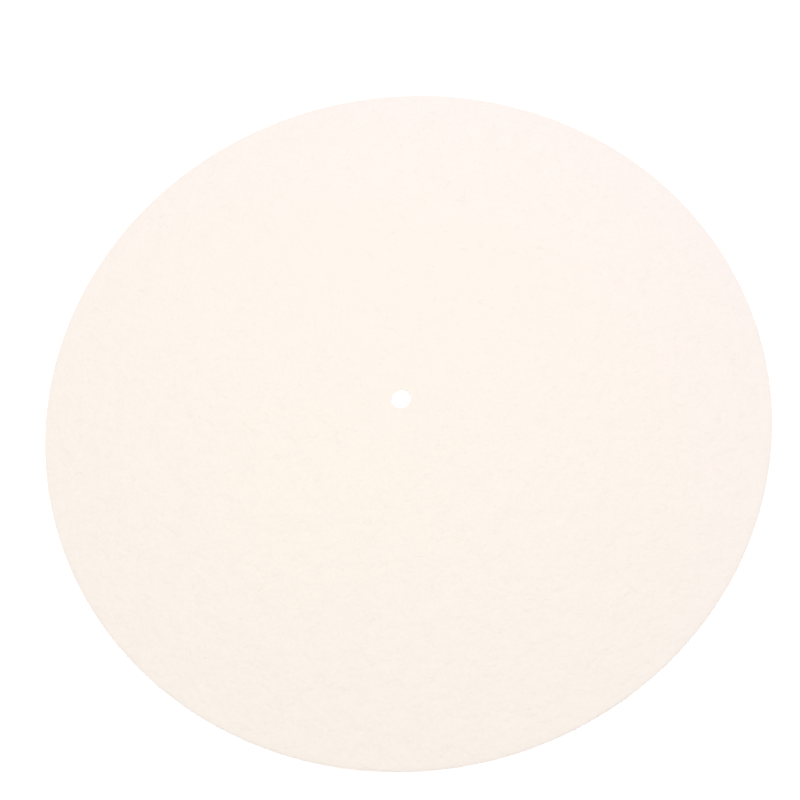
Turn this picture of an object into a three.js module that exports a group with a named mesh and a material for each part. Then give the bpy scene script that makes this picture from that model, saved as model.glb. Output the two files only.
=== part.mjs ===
import * as THREE from 'three';

// A turntable platter mat: one disc of pressed wool felt. A steel die cuts its outline from the
// sheet and a punch opens the hole that slips over the turntable's spindle.
// It is in millimetres with +Z up. It lies on the plane z = 0, with its origin on the axis of the
// spindle hole.

// Driving dimensions of the mat
const MAT_DIAMETER = 300;
const FELT_THICKNESS = 2;
// A standard record spindle, and the room that the hole leaves all round it
const SPINDLE_DIAMETER = 7.2;
const SPINDLE_CLEARANCE = 0.2;

// The die drags the top face down with it, so the upper edge is rolled and the lower one is crisp.
// A roll's width is measured across the face, and its drop is measured down the wall.
const RIM_ROLL_WIDTH = 3;
const RIM_ROLL_DROP = 0.6;
const HOLE_ROLL_WIDTH = 1.2;
const HOLE_ROLL_DROP = 0.5;
const LOWER_EDGE_RADIUS = 0.2;

// Form of a roll: the shares of its width and its drop that lie within the tight turn at the wall
const TURN_SHARE_OF_WIDTH = 0.35;
const TURN_SHARE_OF_DROP = 0.8;

// Facets: round the disc, along a roll and along a lower edge
const ROUND_SEGMENTS = 180;
const ROLL_SEGMENTS = 7;
const LOWER_EDGE_SEGMENTS = 3;

const RIM_RADIUS = MAT_DIAMETER / 2;
const HOLE_RADIUS = SPINDLE_DIAMETER / 2 + SPINDLE_CLEARANCE;

// In the section, x is the distance from the axis and y is the height above the underside.
// Felt lies towards the axis from the rim's wall and away from it at the hole's wall.
const RIM = { wall: RIM_RADIUS, inward: -1, rollWidth: RIM_ROLL_WIDTH, rollDrop: RIM_ROLL_DROP };
const HOLE = { wall: HOLE_RADIUS, inward: 1, rollWidth: HOLE_ROLL_WIDTH, rollDrop: HOLE_ROLL_DROP };

// The upper edge leaves the face almost flat, then turns down tightly into the wall.
function rolledEdge({ wall, inward, rollWidth, rollDrop }) {
  const curve = new THREE.CubicBezierCurve(
    new THREE.Vector2(wall + inward * rollWidth, FELT_THICKNESS),
    new THREE.Vector2(wall + inward * rollWidth * TURN_SHARE_OF_WIDTH, FELT_THICKNESS),
    new THREE.Vector2(wall, FELT_THICKNESS - rollDrop * (1 - TURN_SHARE_OF_DROP)),
    new THREE.Vector2(wall, FELT_THICKNESS - rollDrop),
  );
  return curve.getPoints(ROLL_SEGMENTS);
}

// The lower edge turns from the wall into the underside.
function lowerEdge({ wall, inward }) {
  const curve = new THREE.QuadraticBezierCurve(
    new THREE.Vector2(wall, LOWER_EDGE_RADIUS),
    new THREE.Vector2(wall, 0),
    new THREE.Vector2(wall + inward * LOWER_EDGE_RADIUS, 0),
  );
  return curve.getPoints(LOWER_EDGE_SEGMENTS);
}

// The closed section runs up the rim, in over the top face, down the hole and out under the mat.
function matSection() {
  const points = [
    ...lowerEdge(RIM).reverse(),
    ...rolledEdge(RIM).reverse(),
    ...rolledEdge(HOLE),
    ...lowerEdge(HOLE),
  ];
  points.push(points[0].clone());
  return points;
}

// Undyed wool felt is a warm off-white and quite matt.
function woolFelt() {
  return new THREE.MeshStandardMaterial({
    name: 'wool_felt',
    color: 0xfbf2e8,
    roughness: 0.95,
    metalness: 0,
  });
}

function feltMat() {
  const geometry = new THREE.LatheGeometry(matSection(), ROUND_SEGMENTS);
  geometry.rotateX(Math.PI / 2);
  const mesh = new THREE.Mesh(geometry, woolFelt());
  mesh.name = 'felt_mat';
  return mesh;
}

const platterMat = new THREE.Group();
platterMat.name = 'platter_mat';
platterMat.add(feltMat());

export default platterMat;
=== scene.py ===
# %% [markdown]
# # A wool felt platter mat
#
# The real object is one disc of pressed wool felt. A steel die cuts it out of a sheet, a punch opens
# the hole for the turntable's spindle, and it lies loose on the platter with the record on top.
# There is nothing on it but felt, so everything that makes it look real is in three things: the
# soft roll of its cut edges, the slight unevenness of the sheet, and the matted fibres.
#
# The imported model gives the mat's true size and place. It is loaded first, and every size below
# that has to agree with it is measured on it.

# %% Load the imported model
import math
import random

import bmesh
import bpy
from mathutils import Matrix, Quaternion, Vector, noise
from mathutils.geometry import interpolate_bezier


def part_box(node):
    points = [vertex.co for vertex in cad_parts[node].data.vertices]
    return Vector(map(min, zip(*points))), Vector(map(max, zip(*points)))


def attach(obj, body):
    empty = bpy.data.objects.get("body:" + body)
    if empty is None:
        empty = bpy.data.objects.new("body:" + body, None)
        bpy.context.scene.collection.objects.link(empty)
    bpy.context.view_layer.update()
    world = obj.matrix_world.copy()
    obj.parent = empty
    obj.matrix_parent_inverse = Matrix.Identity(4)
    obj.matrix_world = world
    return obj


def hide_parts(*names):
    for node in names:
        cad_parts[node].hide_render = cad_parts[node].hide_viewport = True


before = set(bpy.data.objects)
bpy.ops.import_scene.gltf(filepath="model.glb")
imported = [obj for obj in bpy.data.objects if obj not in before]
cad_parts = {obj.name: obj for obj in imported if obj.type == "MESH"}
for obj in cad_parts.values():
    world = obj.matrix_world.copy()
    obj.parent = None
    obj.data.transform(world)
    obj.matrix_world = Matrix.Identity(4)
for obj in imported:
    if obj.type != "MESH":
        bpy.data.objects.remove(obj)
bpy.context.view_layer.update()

MM = 0.001
cad_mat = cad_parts["felt_mat"]
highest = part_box("felt_mat")[1]
RIM_RADIUS = highest.x
THICKNESS = highest.z
HOLE_RADIUS = min(v.co.xy.length for v in cad_mat.data.vertices)
print(f"mat {2 * RIM_RADIUS / MM:.1f} mm across, {THICKNESS / MM:.1f} mm thick,"
      f" hole {2 * HOLE_RADIUS / MM:.1f} mm across")

# %% [markdown]
# ## Where the camera stands
#
# The camera looks down on the mat from about three quarters of the way up to straight overhead, and
# it is turned a little about its own line of sight, so the disc shows as a slightly tilted ellipse.
# An ellipse alone doesn't give the distance. The spindle hole does: it lies above the ellipse's
# middle by an amount that only one distance gives.

# %% Camera
CAMERA_ELEVATION = math.radians(66.7)
CAMERA_ROLL = math.radians(-12.0)
CAMERA_DISTANCE = 567.4 * MM
CAMERA_AIM = Vector((-0.57 * MM, 0.40 * MM, 0))
LENS_MM = 61.6
FILM_WIDTH_MM = 36

away = Vector((0, -math.cos(CAMERA_ELEVATION), math.sin(CAMERA_ELEVATION)))
camera_data = bpy.data.cameras.new("camera")
camera_data.lens = LENS_MM
camera_data.sensor_width = FILM_WIDTH_MM
camera = bpy.data.objects.new("camera", camera_data)
camera.location = CAMERA_AIM + away * CAMERA_DISTANCE
camera.rotation_mode = "QUATERNION"
camera.rotation_quaternion = away.to_track_quat("Z", "Y") @ Quaternion((0, 0, 1), CAMERA_ROLL)
bpy.context.scene.collection.objects.link(camera)
bpy.context.scene.camera = camera
print("camera at", [round(c / MM) for c in camera.location], "mm")

# %% [markdown]
# ## The two faces of the sheet
#
# A disc could be spun round its axis, but then its faces crowd together at the hole and are wide
# at the rim, and the felt's unevenness would be fine in one place and coarse in the other. Here a
# square grid with a square gap in it is bent into a ring instead: each square ring of the grid
# becomes a round one. The faces then stay nearly one size from the hole to the rim.

# %% A face of felt
# The gap takes HOLE_RINGS of the square rings. The top then has faces about 1 mm wide.
HOLE_RINGS = 6
TOP_RINGS = 120
UNDERSIDE_RINGS = 60


def square_to_round(x, y):
    """The direction that a place on a square ring takes on the round one."""
    if abs(x) >= abs(y):
        angle = math.pi / 4 * y / x + (math.pi if x < 0 else 0)
    else:
        angle = math.pi / 2 - math.pi / 4 * x / y + (math.pi if y < 0 else 0)
    return Vector((math.cos(angle), math.sin(angle), 0))


def felt_face(bm, rings, inner_radius, outer_radius, height):
    """Makes one face of the sheet and returns its edges at the hole and at the rim."""
    grid = bmesh.ops.create_grid(bm, x_segments=2 * rings, y_segments=2 * rings, size=rings)["verts"]
    ring_of = {v: round(max(abs(v.co.x), abs(v.co.y))) for v in grid}
    gap = [v for v in grid if ring_of[v] < HOLE_RINGS]
    kept = [v for v in grid if ring_of[v] >= HOLE_RINGS]
    bmesh.ops.delete(bm, geom=gap, context="VERTS")
    for v in kept:
        share = (ring_of[v] - HOLE_RINGS) / (rings - HOLE_RINGS)
        radius = inner_radius + share * (outer_radius - inner_radius)
        v.co = square_to_round(v.co.x, v.co.y) * radius + Vector((0, 0, height))
    open_edges = [e for e in bm.edges if e.is_boundary]
    at_hole = [e for e in open_edges if ring_of.get(e.verts[0]) == HOLE_RINGS]
    at_rim = [e for e in open_edges if ring_of.get(e.verts[0]) == rings]
    return at_hole, at_rim


# %% [markdown]
# ## The cut edges
#
# A steel die drags the top face of the felt down with it before it bites, so the upper edge of a
# cut is rolled over and the lower edge is crisp. The roll at the rim is wide and soft. The punch
# for the hole is small, and its roll is narrower. Each wall is made from the edge of the top face:
# it is extruded row by row, and each new row is moved to the next point of the cut's section.

# %% Sections of the two cuts
RIM_ROLL_WIDTH, RIM_ROLL_DROP = 3.0 * MM, 0.6 * MM
HOLE_ROLL_WIDTH, HOLE_ROLL_DROP = 1.2 * MM, 0.5 * MM
TURN_SHARE_OF_WIDTH = 0.35
TURN_SHARE_OF_DROP = 0.8
LOWER_EDGE_RADIUS = 0.2 * MM
ROLL_ROWS, LOWER_EDGE_ROWS = 8, 3


def cut_section(wall, inward, roll_width, roll_drop):
    """(radius, height) of each row from the top face to the underside. inward points into the felt."""
    roll = interpolate_bezier(
        (wall + inward * roll_width, THICKNESS, 0),
        (wall + inward * roll_width * TURN_SHARE_OF_WIDTH, THICKNESS, 0),
        (wall, THICKNESS - roll_drop * (1 - TURN_SHARE_OF_DROP), 0),
        (wall, THICKNESS - roll_drop, 0),
        ROLL_ROWS + 1,
    )
    middle = (roll[-1].y + LOWER_EDGE_RADIUS) / 2
    turn = interpolate_bezier(
        (wall, LOWER_EDGE_RADIUS, 0),
        (wall, LOWER_EDGE_RADIUS / 3, 0),
        (wall + inward * LOWER_EDGE_RADIUS * 2 / 3, 0, 0),
        (wall + inward * LOWER_EDGE_RADIUS, 0, 0),
        LOWER_EDGE_ROWS + 1,
    )
    return [(p.x, p.y) for p in (*roll, Vector((wall, middle, 0)), *turn)]


rim_section = cut_section(RIM_RADIUS, -1, RIM_ROLL_WIDTH, RIM_ROLL_DROP)
hole_section = cut_section(HOLE_RADIUS, 1, HOLE_ROLL_WIDTH, HOLE_ROLL_DROP)
print("rows down the rim", len(rim_section) - 1, "and down the hole", len(hole_section) - 1)

# %% Extrude the walls and close the underside


def extrude_wall(bm, border, section):
    """Extrudes a border down its cut, row by row, and returns the last row's edges."""
    for radius, height in section[1:]:
        made = bmesh.ops.extrude_edge_only(bm, edges=border)["geom"]
        row = {g for g in made if isinstance(g, bmesh.types.BMVert)}
        for v in row:
            v.co = v.co.xy.normalized().to_3d() * radius + Vector((0, 0, height))
        border = [g for g in made if isinstance(g, bmesh.types.BMEdge) and row.issuperset(g.verts)]
    return border


mat_bm = bmesh.new()
top_hole, top_rim = felt_face(mat_bm, TOP_RINGS, hole_section[0][0], rim_section[0][0], THICKNESS)
foot_rim = extrude_wall(mat_bm, top_rim, rim_section)
foot_hole = extrude_wall(mat_bm, top_hole, hole_section)
# Two loops in one plane give bridge_loops nothing to tell their directions by, so the underside is
# made a little too low, joined to the walls, and then lifted into its place.
FOOT_GAP = 0.4 * MM
under_hole, under_rim = felt_face(
    mat_bm, UNDERSIDE_RINGS, hole_section[-1][0] + FOOT_GAP, rim_section[-1][0] - FOOT_GAP, -FOOT_GAP
)
bmesh.ops.bridge_loops(mat_bm, edges=foot_rim + under_rim)
bmesh.ops.bridge_loops(mat_bm, edges=foot_hole + under_hole)
for v in mat_bm.verts:
    v.co.z = max(v.co.z, 0)
bmesh.ops.recalc_face_normals(mat_bm, faces=mat_bm.faces)
# Extruding makes its faces in another order each time. They are sorted by their corners, so that
# they come in the same order in every run.
mat_bm.verts.index_update()
in_order = sorted(mat_bm.faces, key=lambda face: sorted(v.index for v in face.verts))
rank = {face: i for i, face in enumerate(in_order)}
mat_bm.faces.sort(key=rank.get)
print("open edges", sum(not e.is_manifold for e in mat_bm.edges), "faces", len(mat_bm.faces))

# %% [markdown]
# ## The sheet's unevenness
#
# Felt is pressed from carded wool, so its thickness drifts by a few hundredths of a millimetre:
# broad soft swells, the lumps of the carded web, and small dimples between tufts. What is wider
# than the mesh's faces is made in the mesh, so that it is there in every view and in the exported
# shape. The finer tangle comes later, in the material.

# %% Unevenness of the felt
# Each is a typical distance between lumps and how high they stand.
SWELLS = ((45 * MM, 0.06 * MM), (13 * MM, 0.05 * MM), (5 * MM, 0.035 * MM), (2.8 * MM, 0.02 * MM))
UNDERSIDE_LIFT, UNDERSIDE_SPACING = 0.05 * MM, 7 * MM
# The underside reads its noise at another height than the top does, so that they aren't alike.
UNDERSIDE_LAYER = 30
EDGE_WANDER, EDGE_WANDER_LENGTH = 0.05 * MM, 3.0 * MM
EDGE_WANDER_DEPTH = 1.0 * MM


def swell(x, y):
    """How far the top stands above or below the sheet's mean thickness at a place."""
    return sum(high * noise.noise(Vector((x / wide, y / wide, wide / MM))) for wide, high in SWELLS)


def on_the_platter(x, y):
    """How far the underside is lifted off the platter at a place. It is never below it."""
    place = Vector((x / UNDERSIDE_SPACING, y / UNDERSIDE_SPACING, UNDERSIDE_LAYER))
    return max(0, UNDERSIDE_LIFT * noise.noise(place))


for v in mat_bm.verts:
    x, y, height = v.co
    radius = v.co.xy.length
    up = height / THICKNESS
    to_wall = min(RIM_RADIUS - radius, radius - HOLE_RADIUS)
    near_wall = max(0, 1 - to_wall / EDGE_WANDER_DEPTH)
    wander = EDGE_WANDER * near_wall * noise.noise(v.co / EDGE_WANDER_LENGTH)
    v.co.xy *= 1 + wander / radius
    v.co.z = height + up * swell(x, y) + (1 - up) * on_the_platter(x, y)
top_starts = HOLE_RADIUS + HOLE_ROLL_WIDTH
top_ends = RIM_RADIUS - RIM_ROLL_WIDTH
on_top = [v for v in mat_bm.verts if v.co.z > THICKNESS / 2 and top_starts < v.co.xy.length < top_ends]
top_heights = [v.co.z / MM for v in on_top]
print(f"the top lies from {min(top_heights):.2f} to {max(top_heights):.2f} mm")

# %% Make the mat


def add_piece(name, mesh, material):
    """Puts a finished mesh into the scene as a piece that lies with the mat."""
    piece = bpy.data.objects.new(name, mesh)
    bpy.context.scene.collection.objects.link(piece)
    mesh.materials.clear()
    mesh.materials.append(material)
    mesh.shade_smooth()
    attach(piece, "root")
    triangles = sum(len(p.vertices) - 2 for p in mesh.polygons)
    print(name, "has", triangles, "triangles")
    return piece


felt = bpy.data.materials.new("undyed_pressed_wool_felt")
mat_mesh = bpy.data.meshes.new("felt_disc")
mat_bm.to_mesh(mat_mesh)
mat_bm.free()
felt_disc = add_piece("felt_disc", mat_mesh, felt)
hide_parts("felt_mat")

# %% [markdown]
# ## Loose fibres
#
# Not every fibre is matted down. Some lie loose on the top face with their middles lifted, and the
# die leaves a short fuzz of cut ends along the rim and in the hole. A real fibre is about 0.03 mm
# thick, which is far too fine to show, so each is drawn about twice as thick. A curve with a small
# square bevel and filled ends makes each one a closed thread of a few dozen faces, and all the
# fibres of a kind become one mesh.
#
# The exported model carries its colours in a picture, which is laid on each piece by a UV map. The
# faces of a fibre are so thin that an ordinary unwrap leaves most of them without a pixel of their
# own. So each face gets a small square of the map to itself, with a gap round it.

# %% A map for the fibres
SQUARE_GAP = 0.2
SQUARE_CORNERS = (
    (SQUARE_GAP, SQUARE_GAP),
    (1 - SQUARE_GAP, SQUARE_GAP),
    (1 - SQUARE_GAP, 1 - SQUARE_GAP),
    (SQUARE_GAP, 1 - SQUARE_GAP),
)


def lay_out_faces(mesh):
    """Lays the faces out side by side on the mesh's UV map, each in a square of its own."""
    squares_across = math.ceil(math.sqrt(len(mesh.polygons)))
    places = []
    for face in mesh.polygons:
        row, column = divmod(face.index, squares_across)
        for across, up in SQUARE_CORNERS[:len(face.vertices)]:
            places += ((column + across) / squares_across, (row + up) / squares_across)
    # A curve's mesh brings one map, in which all its threads lie on each other. It is laid out anew.
    bake_map = mesh.uv_layers[0]
    bake_map.name = "OFBake"
    bake_map.data.foreach_set("uv", places)
    print(mesh.name, "is laid out in", squares_across, "by", squares_across, "squares")


# %% A mesh of fibres
FIBRE_RADIUS = 0.028 * MM
FIBRE_TIP_SHARE = 0.45
FIBRE_POINTS = 8
WELD_REACH = 0.0001 * MM


def fibre_mesh(name, paths):
    """Turns the paths of fibres into one mesh of thin threads that taper at both ends."""
    curve = bpy.data.curves.new(name, "CURVE")
    curve.dimensions = "3D"
    curve.bevel_depth = FIBRE_RADIUS
    curve.bevel_resolution = 0
    curve.use_fill_caps = True
    for path in paths:
        spline = curve.splines.new("POLY")
        spline.points.add(len(path) - 1)
        for i, (point, place) in enumerate(zip(spline.points, path)):
            point.co = (*place, 1)
            swelling = math.sin(math.pi * (i + 0.5) / len(path))
            point.radius = FIBRE_TIP_SHARE + (1 - FIBRE_TIP_SHARE) * swelling
    holder = bpy.data.objects.new(name, curve)
    bpy.context.scene.collection.objects.link(holder)
    graph = bpy.context.evaluated_depsgraph_get()
    mesh = bpy.data.meshes.new_from_object(holder.evaluated_get(graph))
    bpy.data.objects.remove(holder)
    bpy.data.curves.remove(curve)
    # The caps come as faces of their own, so they are welded to the threads.
    weld = bmesh.new()
    weld.from_mesh(mesh)
    bmesh.ops.remove_doubles(weld, verts=weld.verts, dist=WELD_REACH)
    weld.to_mesh(mesh)
    print(name, "open edges", sum(not e.is_manifold for e in weld.edges))
    weld.free()
    lay_out_faces(mesh)
    return mesh


# %% Fibres that lie on the top face
FACE_FIBRES = 3200
FACE_FIBRE_LENGTH = (2.0 * MM, 6.5 * MM)
FACE_FIBRE_ARCH = (0.02 * MM, 0.1 * MM)
# How far a fibre turns from each point to the next, in radians: first evenly, then unevenly.
FACE_FIBRE_CURL, FACE_FIBRE_WAVER = 0.3, 0.12
# How deep the ends of a fibre are in the felt.
FIBRE_ROOT = 0.03 * MM
draw = random.Random(20)


def face_fibre():
    """A fibre that curls across the top face. Its ends are in the felt and its middle is lifted."""
    edge_room = RIM_ROLL_WIDTH + FACE_FIBRE_LENGTH[1] / 2
    radius = math.sqrt(draw.uniform((HOLE_RADIUS + edge_room) ** 2, (RIM_RADIUS - edge_room) ** 2))
    angle = draw.uniform(0, 2 * math.pi)
    place = Vector((radius * math.cos(angle), radius * math.sin(angle)))
    step = draw.uniform(*FACE_FIBRE_LENGTH) / (FIBRE_POINTS - 1)
    heading = draw.uniform(0, 2 * math.pi)
    curl = draw.gauss(0, FACE_FIBRE_CURL)
    arch = draw.uniform(*FACE_FIBRE_ARCH)
    path = []
    for i in range(FIBRE_POINTS):
        lift = arch * math.sin(math.pi * i / (FIBRE_POINTS - 1)) - FIBRE_ROOT
        path.append((*place, THICKNESS + swell(*place) + lift))
        heading += curl + draw.gauss(0, FACE_FIBRE_WAVER)
        place += step * Vector((math.cos(heading), math.sin(heading)))
    return path


def add_fibres(name, paths):
    """Makes all the fibres of one kind a piece."""
    return add_piece(name, fibre_mesh(name, paths), loose_wool)


loose_wool = bpy.data.materials.new("loose_wool_fibres")
face_fibres = add_fibres("face_fibres", [face_fibre() for _ in range(FACE_FIBRES)])

# %% Fuzz at the cut edges
RIM_FUZZ_SPACING = 0.3 * MM
HOLE_FUZZ_SPACING = 0.35 * MM
FUZZ_HEIGHT = (0.15 * THICKNESS, 0.75 * THICKNESS)
FUZZ_LENGTH = (0.5 * MM, 1.7 * MM)
# How far a cut end stands out from the wall. Most stand out only a little.
FUZZ_REACH = (0.03 * MM, 0.6 * MM)
# The share of its length that an end takes along the wall, and of its height that it rises or falls.
FUZZ_LEAN = (0.5, 1)
FUZZ_RISE = (-0.6, 0.4)
# The stretch of a sine wave that an end follows outwards. Its tip turns back a little, and with
# math.pi it would come all the way back to the wall.
FUZZ_BOW = 0.6 * math.pi
FUZZ_ROOT = 2 * FIBRE_ROOT


def fuzz_fibre(wall, outward):
    """A cut end that leaves the wall and leans along it. outward is 1 at the rim and -1 in the hole."""
    angle = draw.uniform(0, 2 * math.pi)
    height = draw.uniform(*FUZZ_HEIGHT)
    length = draw.uniform(*FUZZ_LENGTH)
    reach = FUZZ_REACH[0] + (FUZZ_REACH[1] - FUZZ_REACH[0]) * draw.random() ** 2
    lean = draw.choice((-1, 1)) * draw.uniform(*FUZZ_LEAN)
    rise = draw.uniform(*FUZZ_RISE) * height
    path = []
    for i in range(FIBRE_POINTS):
        share = i / (FIBRE_POINTS - 1)
        radius = wall + outward * (reach * math.sin(FUZZ_BOW * share) - FUZZ_ROOT)
        along = angle + lean * length * share / wall
        path.append((radius * math.cos(along), radius * math.sin(along), height + rise * share**2))
    return path


def fuzz(wall, outward, spacing):
    """The paths of all the cut ends round one wall."""
    return [fuzz_fibre(wall, outward) for _ in range(round(2 * math.pi * wall / spacing))]


rim_fuzz = add_fibres("rim_fuzz", fuzz(RIM_RADIUS, 1, RIM_FUZZ_SPACING))
hole_fuzz = add_fibres("hole_fuzz", fuzz(HOLE_RADIUS, -1, HOLE_FUZZ_SPACING))

# %% [markdown]
# ## Undyed wool felt
#
# Undyed wool is a warm off-white. This felt is a little yellower towards one side of the sheet
# and paler towards the other. Its cut edges are paler still, and that is painted light: it lightens
# their roll, which turns away from the light and is in shade. Pressed felt scatters light in all
# directions, so it has almost no shine, only a faint glow where the eye skims over the nap, which is
# what sheen gives. Its surface is a tangle of fibres that run every way, with small dimples between
# the tufts.
#
# The tangle is drawn as stretched noise laid in several directions: where each noise crosses its
# middle value it makes a thin wandering line, and the highest line wins at every place.

# %% One helper for nodes, and one for colours


def add_node(tree, kind, sockets=None, **settings):
    """Adds a node. A socket given another node's output is linked, and any other value is set."""
    node = tree.nodes.new(kind)
    for name, value in settings.items():
        setattr(node, name, value)
    for name, value in (sockets or {}).items():
        if isinstance(value, bpy.types.NodeSocket):
            tree.links.new(value, node.inputs[name])
        else:
            node.inputs[name].default_value = value
    return node


def linear(code):
    """An sRGB hex colour as Blender's linear red, green, blue and alpha."""
    channels = [int(code[i:i + 2], 16) / 255 for i in (0, 2, 4)]
    return [c / 12.92 if c <= 0.04045 else ((c + 0.055) / 1.055) ** 2.4 for c in channels] + [1]


# %% The tangle of fibres
# A real fibre is about 0.03 mm wide. It is drawn as coarse as it needs to be to show.
TANGLE_DIRECTIONS = 5
# As a share of the angle between two directions, so that no line runs along the x axis.
FIRST_DIRECTION = 0.3
TANGLE_LENGTH, TANGLE_WIDTH = 4.0 * MM, 0.55 * MM
# Each direction reads its noise this much further on, so that no two are alike.
NOISE_STEP = (7.1, 3.7, 1.9)
# A line reaches this far to both sides of the noise's middle value.
NOISE_MIDDLE, LINE_REACH = 0.5, 0.09


def tangle(tree, place):
    """A height from 0 to 1 that is high along thin lines running every way."""
    height = None
    for i in range(TANGLE_DIRECTIONS):
        turn = math.pi * (i + FIRST_DIRECTION) / TANGLE_DIRECTIONS
        laid = add_node(
            tree, "ShaderNodeMapping", {"Vector": place, "Rotation": (0, 0, turn)}, vector_type="TEXTURE"
        )
        stretched = add_node(
            tree, "ShaderNodeVectorMath",
            {0: laid.outputs[0], 1: (1 / TANGLE_LENGTH, 1 / TANGLE_WIDTH, 1 / TANGLE_WIDTH)},
            operation="MULTIPLY",
        )
        shifted = add_node(
            tree, "ShaderNodeVectorMath", {0: stretched.outputs[0], 1: [step * i for step in NOISE_STEP]}
        )
        wander = add_node(
            tree, "ShaderNodeTexNoise",
            {"Vector": shifted.outputs[0], "Scale": 1.0, "Detail": 1.0, "Distortion": 0.5},
        )
        centred = add_node(
            tree, "ShaderNodeMath", {0: wander.outputs[0], 1: NOISE_MIDDLE}, operation="SUBTRACT"
        )
        off_line = add_node(tree, "ShaderNodeMath", {0: centred.outputs[0]}, operation="ABSOLUTE")
        line = add_node(
            tree, "ShaderNodeMapRange",
            {"Value": off_line.outputs[0], "From Min": 0, "From Max": LINE_REACH, "To Min": 1, "To Max": 0},
            interpolation_type="SMOOTHSTEP",
        ).outputs[0]
        height = line if height is None else add_node(
            tree, "ShaderNodeMath", {0: height, 1: line}, operation="MAXIMUM"
        ).outputs[0]
    return height


# %% A shader for wool


def start_material(material, roughness, sheen):
    """Clears a material and gives it a shader for wool, which the rest of it feeds."""
    material.use_nodes = True
    tree = material.node_tree
    tree.nodes.clear()
    shader = add_node(
        tree, "ShaderNodeBsdfPrincipled",
        {"Roughness": roughness, "IOR": 1.55, "Specular IOR Level": 0.25,
         "Sheen Weight": sheen, "Sheen Roughness": 0.5},
    )
    add_node(tree, "ShaderNodeOutputMaterial", {"Surface": shader.outputs[0]})
    place = add_node(tree, "ShaderNodeTexCoord").outputs["Object"]
    return tree, shader, place


# %% Paler wool, and painted light at the cuts
# The wool is yellowest at YELLOW_PLACE and grows paler with the square of the distance from it, until
# 200 mm away it is as pale as at the cuts. Over the last 0.6 mm to each cut it fades into that pale
# colour as well: this is painted light, which lightens the cut walls and the end of their roll, where
# they are in shade.
YELLOW_PLACE = (-40 * MM, -38 * MM, 0)
PALE_WOOL_DISTANCE = 200 * MM
EDGE_LIGHT_DEPTH = 0.6 * MM


def tint_drift_and_edge_light(tree, place):
    """0 where the felt is yellowest, rising to 1 far from there, and 1 at the cut edges as painted light.
    """
    from_yellow = add_node(
        tree, "ShaderNodeVectorMath", {0: place, 1: YELLOW_PLACE}, operation="DISTANCE"
    ).outputs["Value"]
    squared = add_node(tree, "ShaderNodeMath", {0: from_yellow, 1: from_yellow}, operation="MULTIPLY")
    tint_and_edge_light = add_node(
        tree, "ShaderNodeMapRange", {"Value": squared.outputs[0], "From Max": PALE_WOOL_DISTANCE**2}
    ).outputs[0]
    flat = add_node(tree, "ShaderNodeVectorMath", {0: place, 1: (1, 1, 0)}, operation="MULTIPLY")
    from_axis = add_node(
        tree, "ShaderNodeVectorMath", {0: flat.outputs[0]}, operation="LENGTH"
    ).outputs["Value"]
    # Near each cut the colour turns to the pale wool: painted light on the cut's shaded wall and roll.
    for start, end in ((RIM_RADIUS - EDGE_LIGHT_DEPTH, RIM_RADIUS), (HOLE_RADIUS + EDGE_LIGHT_DEPTH, HOLE_RADIUS)):
        cut = add_node(
            tree, "ShaderNodeMapRange", {"Value": from_axis, "From Min": start, "From Max": end}
        ).outputs[0]
        tint_and_edge_light = add_node(tree, "ShaderNodeMath", {0: tint_and_edge_light, 1: cut}, operation="MAXIMUM").outputs[0]
    return tint_and_edge_light


# %% Felt
# The clouds are faint, and the noise behind them lies mostly between the two ends of CLOUD_RANGE.
# Noise uses only about a third of the height that it is given, so the dimples between the tufts are
# about 0.2 mm deep. The real ones are shallower, but would hardly show.
WOOL = linear("FDF4EA")
# The pale wool far from the yellowest place. Along the cut edges the same colour is painted light.
PALE_WOOL_AND_EDGE_LIGHT = linear("FEF4EF")
CLOUD_SHADE = linear("FDFDFD")
CLOUD_SPACING = 7 * MM
CLOUD_RANGE = (0.35, 0.65)
TUFT_SPACING = 4.5 * MM
TUFT_HEIGHT = 0.75 * MM
TANGLE_HEIGHT = 0.015 * MM
FELT_ROUGHNESS, FELT_SHEEN = 0.95, 0.12


def paint_felt(material):
    """Colour that clouds and speckles a little and is painted lighter at the cuts, and a bump of tufts with
    fibres over them.
    """
    tree, shader, place = start_material(material, FELT_ROUGHNESS, FELT_SHEEN)
    clouds = add_node(
        tree, "ShaderNodeTexNoise",
        {"Vector": place, "Scale": 1 / CLOUD_SPACING, "Detail": 4.0, "Roughness": 0.85},
    ).outputs[0]
    shade = add_node(
        tree, "ShaderNodeMapRange",
        {"Value": clouds, "From Min": CLOUD_RANGE[0], "From Max": CLOUD_RANGE[1]},
    ).outputs[0]
    wool = add_node(
        tree, "ShaderNodeMix", {"Factor": tint_drift_and_edge_light(tree, place), "A": WOOL, "B": PALE_WOOL_AND_EDGE_LIGHT},
        data_type="RGBA",
    )
    colour = add_node(
        tree, "ShaderNodeMix", {"Factor": shade, "A": wool.outputs["Result"], "B": CLOUD_SHADE},
        data_type="RGBA", blend_type="MULTIPLY",
    )
    tufts = add_node(
        tree, "ShaderNodeTexNoise",
        {"Vector": place, "Scale": 1 / TUFT_SPACING, "Detail": 2.0, "Roughness": 0.55},
    ).outputs[0]
    fibres = tangle(tree, place)
    tree.links.new(colour.outputs["Result"], shader.inputs["Base Color"])
    tuft_bump = add_node(
        tree, "ShaderNodeBump", {"Strength": 1.0, "Distance": TUFT_HEIGHT, "Height": tufts}
    )
    fibre_bump = add_node(
        tree, "ShaderNodeBump",
        {"Strength": 1.0, "Distance": TANGLE_HEIGHT, "Height": fibres, "Normal": tuft_bump.outputs[0]},
    )
    tree.links.new(fibre_bump.outputs[0], shader.inputs["Normal"])


paint_felt(felt)
print("the felt's material has", len(felt.node_tree.nodes), "nodes")

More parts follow.
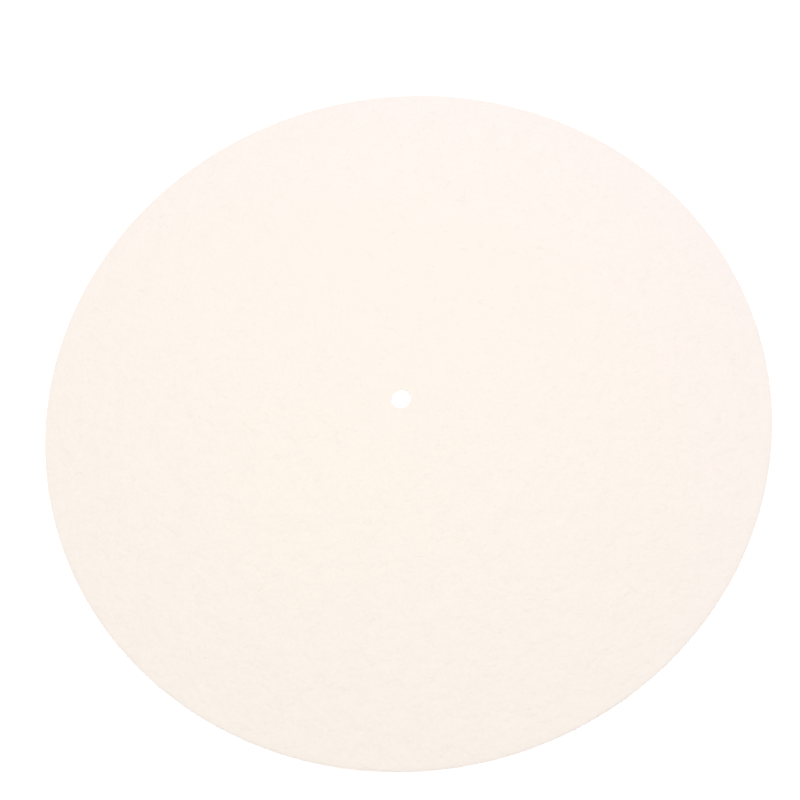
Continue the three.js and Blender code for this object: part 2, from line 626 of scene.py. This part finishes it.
# %% Loose fibres
# A loose fibre isn't pressed into the rest, so it is a little smoother than the felt and catches a
# little more light. Its colours are on the whole paler than the felt's as well: that is painted light,
# which offsets the shade that the fibres cast on each other and on the cut walls.
FIBRE_LIGHT = linear("FEF7F1")
FIBRE_DARK = linear("FBF2EB")
FIBRE_DRIFT_SPACING = 2 * MM
FIBRE_ROUGHNESS, FIBRE_SHEEN = 0.8, 0.1


def paint_fibres(material):
    """Each fibre is a little lighter or darker than its neighbours."""
    tree, shader, place = start_material(material, FIBRE_ROUGHNESS, FIBRE_SHEEN)
    drift = add_node(
        tree, "ShaderNodeTexNoise", {"Vector": place, "Scale": 1 / FIBRE_DRIFT_SPACING, "Detail": 1.0}
    ).outputs[0]
    colour = add_node(
        tree, "ShaderNodeMix", {"Factor": drift, "A": FIBRE_LIGHT, "B": FIBRE_DARK}, data_type="RGBA"
    )
    tree.links.new(colour.outputs["Result"], shader.inputs["Base Color"])


paint_fibres(loose_wool)

# %% [markdown]
# ## Studio
#
# A pale object on a white ground keeps its shape only if the light is soft and even. About half of
# it comes from all round, as from a white tent. The rest is one softbox high above the far half of
# the mat. It makes that half a touch brighter, and it grazes the near half and the sides, where the
# felt's relief then shows most. The ground is white acrylic lit from below as well, which is how
# such things are photographed: it reads pure white and it lights the cut edges and the hole. The
# levels of tent and softbox add up to about 1, at which a colour renders as written.

# %% World
TENT_LEVEL = 0.598
WHITE = (1, 1, 1, 1)


def seen_directly(tree):
    """1 for rays that show the background: from the camera, or by a reflection or through glass."""
    path = add_node(tree, "ShaderNodeLightPath")
    seen = add_node(
        tree, "ShaderNodeMath",
        {0: path.outputs["Is Camera Ray"], 1: path.outputs["Is Glossy Ray"]}, operation="MAXIMUM",
    )
    return add_node(
        tree, "ShaderNodeMath",
        {0: seen.outputs[0], 1: path.outputs["Is Transmission Ray"]}, operation="MAXIMUM",
    ).outputs[0]


world = bpy.data.worlds.new("tent")
bpy.context.scene.world = world
world.use_nodes = True
world.node_tree.nodes.clear()
tent_light = add_node(world.node_tree, "ShaderNodeBackground", {"Color": WHITE, "Strength": TENT_LEVEL})
white_ground = add_node(world.node_tree, "ShaderNodeBackground", {"Color": WHITE, "Strength": 1.0})
seen_world = add_node(
    world.node_tree, "ShaderNodeMixShader",
    {0: seen_directly(world.node_tree), 1: tent_light.outputs[0], 2: white_ground.outputs[0]},
)
add_node(world.node_tree, "ShaderNodeOutputWorld", {"Surface": seen_world.outputs[0]})

# %% Softbox
# Its level is the brightness that it alone gives a white surface at the mat's middle.
BOX_LEVEL = 0.45
BOX_PLACE = Vector((0.028, 0.097, 0.8))
BOX_SIZE = 0.35

box_data = bpy.data.lights.new("softbox", "AREA")
box_data.shape = "DISK"
box_data.size = BOX_SIZE
box_data.energy = BOX_LEVEL * math.pi**2 * BOX_PLACE.length_squared / BOX_PLACE.normalized().z
softbox = bpy.data.objects.new("softbox", box_data)
softbox.location = BOX_PLACE
softbox.rotation_mode = "QUATERNION"
softbox.rotation_quaternion = BOX_PLACE.to_track_quat("Z", "Y")
softbox.visible_camera = False
bpy.context.scene.collection.objects.link(softbox)
print("level at the middle", TENT_LEVEL + BOX_LEVEL, "softbox", round(box_data.energy, 1), "W")

# %% Floor
FLOOR_SIZE = 6.0
FLOOR_DROP = 0.02 * MM
ACRYLIC = (0.88, 0.88, 0.88, 1)
ACRYLIC_GLOW = 0.52
# Under the spindle hole it is brighter, which lights the far wall of the hole as well. The softbox
# doesn't reach that wall, and without this the hole would have a dark crescent.
HOLE_GLOW = 0.7

floor_bm = bmesh.new()
bmesh.ops.create_grid(floor_bm, x_segments=1, y_segments=1, size=FLOOR_SIZE / 2)
bmesh.ops.translate(floor_bm, verts=floor_bm.verts, vec=(0, 0, -FLOOR_DROP))
floor_mesh = bpy.data.meshes.new("floor")
floor_bm.to_mesh(floor_mesh)
floor_bm.free()
floor = bpy.data.objects.new("floor", floor_mesh)
bpy.context.scene.collection.objects.link(floor)

acrylic = bpy.data.materials.new("white_acrylic_lit_from_below")
floor_mesh.materials.append(acrylic)
acrylic.use_nodes = True
ground = acrylic.node_tree
ground.nodes.clear()
matt = add_node(ground, "ShaderNodeBsdfDiffuse", {"Color": ACRYLIC})
ground_place = add_node(ground, "ShaderNodeTexCoord").outputs["Object"]
from_axis = add_node(ground, "ShaderNodeVectorMath", {0: ground_place}, operation="LENGTH")
in_hole = add_node(
    ground, "ShaderNodeMath", {0: from_axis.outputs["Value"], 1: HOLE_RADIUS}, operation="LESS_THAN"
)
shine = add_node(
    ground, "ShaderNodeMath",
    {0: in_hole.outputs[0], 1: HOLE_GLOW, 2: ACRYLIC_GLOW}, operation="MULTIPLY_ADD",
)
glow = add_node(ground, "ShaderNodeEmission", {"Strength": shine.outputs[0]})
both = add_node(ground, "ShaderNodeAddShader", {0: matt.outputs[0], 1: glow.outputs[0]})
add_node(ground, "ShaderNodeOutputMaterial", {"Surface": both.outputs[0]})

# %% Finish
bpy.context.scene.view_settings.view_transform = "Standard"
